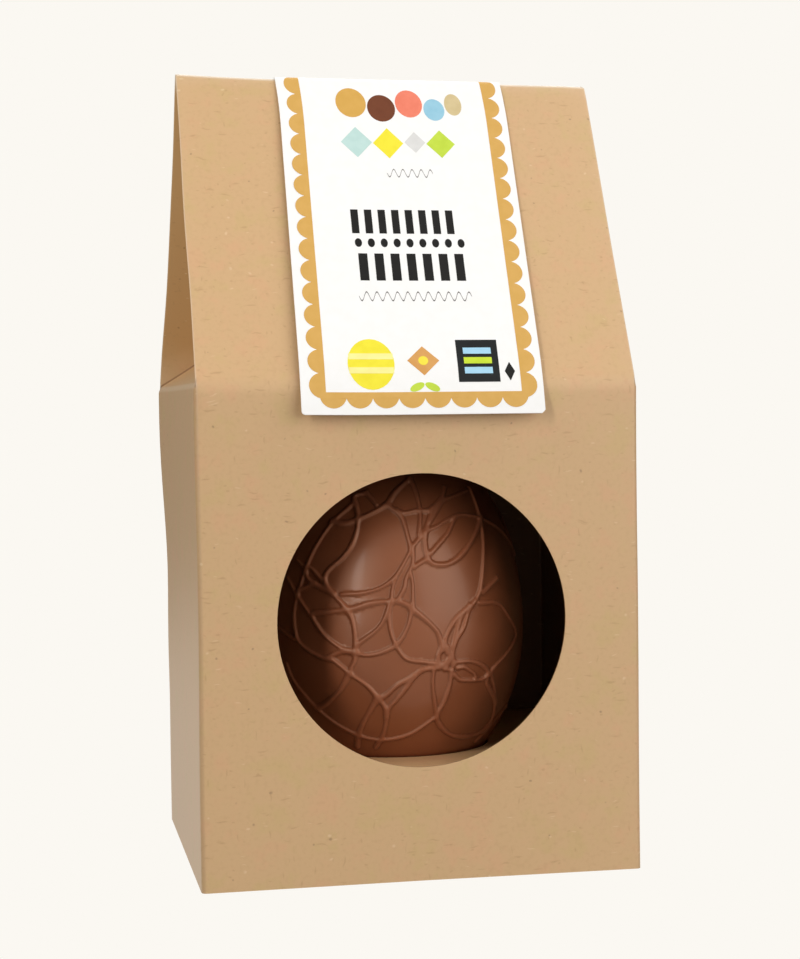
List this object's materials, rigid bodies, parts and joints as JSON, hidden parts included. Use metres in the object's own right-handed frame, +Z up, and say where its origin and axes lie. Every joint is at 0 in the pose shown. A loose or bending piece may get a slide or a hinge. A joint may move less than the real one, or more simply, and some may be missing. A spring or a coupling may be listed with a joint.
{
  "type": "chocolate egg in a window carton",
  "caption": "Drizzled milk chocolate egg standing in a folded kraft carton with a round window, a holed shelf and a card label folded over its ridge.",
  "frame": {"origin": "middle of the carton's base, on the surface it stands on", "axes": "+Z up, the carton's window faces -Y and its width runs along X"},
  "size_m": [0.11, 0.1004, 0.2029],
  "materials": {
    "kraft_board": "uncoated brown kraft board with small darker and lighter fibres",
    "insert_board": "uncoated brown kraft board",
    "milk_chocolate": "milk chocolate with a soft satin sheen and drizzled strands of the same chocolate",
    "label_card": "smooth white card with matt print"
  },
  "bodies": {
    "root": {"carton": "kraft_board", "base_flaps": "kraft_board", "shelf": "insert_board", "egg": "milk_chocolate", "label": "label_card"}
  },
  "joints": []
}
